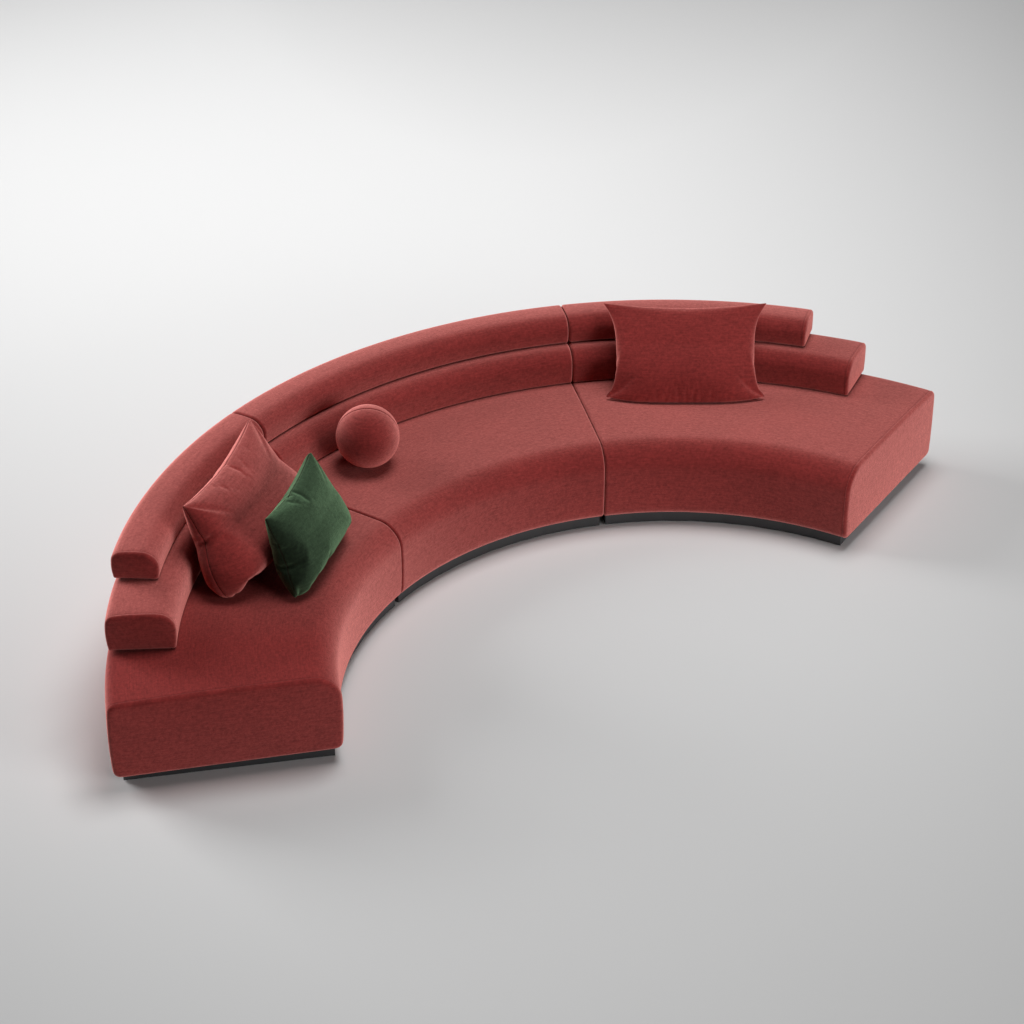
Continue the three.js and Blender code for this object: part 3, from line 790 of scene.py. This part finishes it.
def sewn_case(cushion, placing, back):
    """Two flat panels, face to face and joined round their edge, set down with the foot bent."""
    width, height = cushion.width, cushion.height
    shape = bmesh.new()
    shape.verts.layers.float.new("sewn")
    bmesh.ops.create_grid(
        shape,
        x_segments=round(width / PANEL_STEP),
        y_segments=round(height / PANEL_STEP),
        size=0.5,
    )
    bmesh.ops.scale(shape, vec=(width, height, 1), verts=shape.verts)
    for edge in shape.edges:
        edge.seam = edge.is_boundary
    inner = [vert for vert in shape.verts if not vert.is_boundary]
    bmesh.ops.translate(shape, vec=(0, 0, EASE), verts=inner)
    other = bmesh.ops.duplicate(shape, geom=shape.verts[:] + shape.edges[:] + shape.faces[:])["geom"]
    behind = [item for item in other if isinstance(item, bmesh.types.BMVert)]
    bmesh.ops.scale(shape, vec=(1, 1, -1), verts=behind)
    faces = [item for item in other if isinstance(item, bmesh.types.BMFace)]
    bmesh.ops.reverse_faces(shape, faces=faces)
    bmesh.ops.remove_doubles(shape, verts=shape.verts, dist=EASE / 4)
    bmesh.ops.recalc_face_normals(shape, faces=shape.faces)
    cloth = shape.loops.layers.uv.new("cloth")
    for face in shape.faces:
        for loop in face.loops:
            loop[cloth].uv = loop.vert.co.xy
    drop = (placing @ Vector((0, -height / 2, 0))).z - BLOCKS["seat"].top - 2 * EASE
    for vert in shape.verts:
        low = max(0.0, 1 - (vert.co.y / height + 0.5) / FOOT_HEIGHT) ** 2
        low *= 1 - (2 * vert.co.x / width) ** 4
        vert.co = placing @ vert.co
        vert.co -= (back * cushion.forward + Vector((0, 0, drop))) * low
    return shape


def flat_places(piece):
    """Where each vertex of a case lies on its flat panel."""
    flat = piece.data.uv_layers["cloth"].data
    return {loop.vertex_index: flat[loop.index].uv.copy() for loop in piece.data.loops}


def blown_up(piece, cushion, touched):
    """Runs the cloth solver on a case and gives its vertices' last places."""
    held = piece.vertex_groups.new(name="held")
    filled = piece.vertex_groups.new(name="filled")
    taut = piece.vertex_groups.new(name="taut")
    for index, (x, y) in flat_places(piece).items():
        share = y / cushion.height + 0.5
        filled.add([index], 1 + (cushion.top_fill - 1) * share, "REPLACE")
        taut.add([index], share, "REPLACE")
        corner = math.hypot(cushion.width / 2 - abs(x), cushion.height / 2 - abs(y)) < PANEL_STEP / 2
        if corner or share < 0.001 and abs(x) < cushion.width * cushion.tucked / 2:
            held.add([index], 1.0, "REPLACE")
    for other in touched:
        other.modifiers.new("touch", "COLLISION")
        other.collision.thickness_outer = CLOTH_THICKNESS
    modifier = piece.modifiers.new("cloth", "CLOTH")
    cloth = modifier.settings
    cloth.quality = 6
    cloth.mass = 0.25
    cloth.tension_stiffness = cloth.compression_stiffness = 30
    cloth.shear_stiffness = 20
    cloth.bending_stiffness = 2.5
    cloth.air_damping = 3
    cloth.tension_damping = cloth.compression_damping = 10
    cloth.use_pressure = True
    cloth.uniform_pressure_force = FILL_PRESSURE
    cloth.vertex_group_pressure = filled.name
    cloth.vertex_group_mass = held.name
    cloth.vertex_group_shrink = taut.name
    cloth.shrink_min = -cushion.foot_slack
    cloth.shrink_max = -cushion.top_slack
    cloth.effector_weights.gravity = SAG
    modifier.collision_settings.distance_min = CLOTH_THICKNESS
    modifier.collision_settings.collision_quality = 3
    modifier.point_cache.frame_start = 1
    modifier.point_cache.frame_end = INFLATE_FRAMES
    for frame_number in range(1, INFLATE_FRAMES + 1):
        bpy.context.scene.frame_set(frame_number)
    graph = bpy.context.evaluated_depsgraph_get()
    blown = bpy.data.meshes.new_from_object(piece.evaluated_get(graph))
    places = [vert.co.copy() for vert in blown.vertices]
    bpy.data.meshes.remove(blown)
    piece.modifiers.clear()
    piece.vertex_groups.clear()
    for other in touched:
        other.modifiers.remove(other.modifiers["touch"])
    bpy.context.scene.frame_set(1)
    return places


def slumped(piece, cushion, places, along, back):
    """Moves a case to its blown-up places, drawn in at its sides, slumped low and plumped at the top."""
    flat = flat_places(piece)
    for vert, blown in zip(piece.data.vertices, places):
        x, y = flat[vert.index]
        share = y / cushion.height + 0.5
        rise = 2 * share - 1
        ending = rise**PINCH_TOP_POWER if rise > 0 else rise**PINCH_FOOT_POWER
        drawn = cushion.pinch * (1 - ending) - cushion.flare * max(rise, 0) ** PINCH_TOP_POWER
        low = math.sin(math.pi * min(share / LOW_SHARE, 1))
        reach, depth = (blown - cushion.middle).dot(along), (blown - vert.co).dot(-back)
        vert.co = blown + along * (min(reach, 0) * cushion.wider * low - reach * drawn)
        vert.co -= back * max(depth, 0) * cushion.fatter * low
        vert.co.z += cushion.crest * max(rise, 0) ** 2 * (1 - (2 * x / cushion.width) ** 2)


def zipped(name, piece, across, material, slot):
    """A zip along the middle of the seam at the foot."""
    places = flat_places(piece)
    foot = min(place.y for place in places.values())
    reach = ZIP_LENGTH_SHARE * max(place.x for place in places.values())
    row = sorted((x, index) for index, (x, y) in places.items() if y < foot + 1e-4 and abs(x) < reach)
    shape = bmesh.new()
    line = [shape.verts.new(piece.data.vertices[index].co) for _, index in row]
    edges = [shape.edges.new(pair) for pair in zip(line, line[1:])]
    bmesh.ops.translate(shape, vec=across * (ZIP_WIDTH / -2), verts=line)
    tape = bmesh.ops.extrude_edge_only(shape, edges=edges)["geom"]
    verts = [item for item in tape if isinstance(item, bmesh.types.BMVert)]
    bmesh.ops.translate(shape, vec=across * ZIP_WIDTH, verts=verts)
    bmesh.ops.solidify(shape, geom=shape.faces[:], thickness=ZIP_THICKNESS)
    bmesh.ops.recalc_face_normals(shape, faces=shape.faces)
    finished(name + "_zip_tape", shape, material, name, (name + "_zip",), slot)


def seamed(piece):
    """Sinks the line of stitches where the two panels meet."""
    shape = bmesh.new()
    shape.from_mesh(piece.data)
    sewn = shape.verts.layers.float["sewn"]
    strips = bmesh.ops.bevel(
        shape,
        geom=[edge for edge in shape.edges if edge.seam],
        offset=SEAM_WIDTH / 2,
        segments=2,
        profile=0.5,
        affect="EDGES",
        material=-1,
    )["faces"]
    shape.normal_update()
    strips = set(strips)
    for vert in {vert for face in strips for vert in face.verts}:
        if all(face in strips for face in vert.link_faces):
            vert.co -= vert.normal * SEAM_DEPTH
            # the sunk seam is painted dark, as dark thread and painted shade
            vert[sewn] = 1.0
    for face in shape.faces:
        face.smooth = True
    shape.to_mesh(piece.data)
    shape.free()


cases = {}
for name, cushion in CUSHIONS.items():
    lean = math.radians(cushion.lean_deg)
    along = level_way(cushion.yaw_deg)
    back = quarter_turn(along)
    slope = back * math.sin(lean) + Vector((0, 0, math.cos(lean)))
    across = along.cross(slope)
    turned = Matrix((along, slope, across)).transposed().to_4x4()
    side, colour = ("left", "green") if name == "green_cushion" else (name.split("_")[0], "red")
    piece = finished(
        name + "_case",
        sewn_case(cushion, Matrix.Translation(cushion.middle) @ turned, back),
        GREEN_VELVET if colour == "green" else RED_VELVET,
        name,
        (name + "_cover", name + "_pad"),
        colour + "_velvet",
    )
    touched = [bpy.data.objects[f"{side}_{part}_upholstery"] for part in BLOCKS]
    if colour == "green":
        touched = touched[:1] + [cases["left_cushion"]]
    slumped(piece, cushion, blown_up(piece, cushion, touched), along, back)
    cases[name] = piece
    zipped(name, piece, across, GREEN_ZIP if colour == "green" else RED_ZIP, colour + "_zip")
for piece in cases.values():
    seamed(piece)
    smoothed(piece)


# The ball: two half covers of the same red velvet, sewn together along an upright ring that faces the left
# end of the sofa, over a tight round pad that flattens a little where it rests on the seat.
BALL_STEPS = 36
BALL_SEAM_TURN_DEG = 236.0
BALL_FLAT = 0.004
BALL_FLAT_SCALE = 20
BALL_WEAVE = 1.3  # how much coarser the weave is laid on the ball

low, high = (Vector(corner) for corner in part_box("ball_cushion_cover"))
radius = (high.x - low.x + high.y - low.y) / 4
centre = (low + high) / 2
shape = bmesh.new()
sewn = shape.verts.layers.float.new("sewn")
half_seam = math.asin(SEAM_WIDTH / 2 / radius)
arcs = [math.pi / 2 * (1 - i / BALL_STEPS * 2) for i in range(BALL_STEPS + 1)]
rim = []
for arc in sorted(arcs + [-half_seam, half_seam], reverse=True):
    out = radius - SEAM_DEPTH * (abs(arc) < half_seam / 2)
    rim.append(shape.verts.new((out * math.cos(arc), 0, radius * math.sin(arc))))
for first, second in zip(rim, rim[1:]):
    shape.edges.new((first, second))
bmesh.ops.spin(
    shape,
    geom=shape.verts[:] + shape.edges[:],
    cent=(0, 0, 0),
    axis=(0, 0, 1),
    angle=math.tau,
    steps=BALL_STEPS * 2,
    use_merge=True,
    use_duplicate=False,
)
bmesh.ops.remove_doubles(shape, verts=shape.verts, dist=1e-5)
bmesh.ops.recalc_face_normals(shape, faces=shape.faces)
# the seam ring is painted dark, as dark thread and painted shade
for vert in shape.verts:
    vert[sewn] = float(abs(vert.co.z) < 1e-5)
cloth = shape.loops.layers.uv.new("cloth")
for face in shape.faces:
    for loop in face.loops:
        loop[cloth].uv = loop.vert.co.normalized().xy * radius * BALL_WEAVE
tilt = level_way(BALL_SEAM_TURN_DEG).to_track_quat("Z", "Y").to_matrix().to_4x4()
bmesh.ops.transform(shape, matrix=Matrix.Translation(centre) @ tilt, verts=shape.verts)
for vert in shape.verts:
    vert.co.z = max(vert.co.z, low.z + BALL_FLAT * noise.noise(vert.co * BALL_FLAT_SCALE) ** 2)
ball = finished(
    "ball_cushion_case",
    shape,
    RED_VELVET,
    "ball_cushion",
    ("ball_cushion_cover", "ball_cushion_pad"),
    "red_velvet",
)
smoothed(ball)
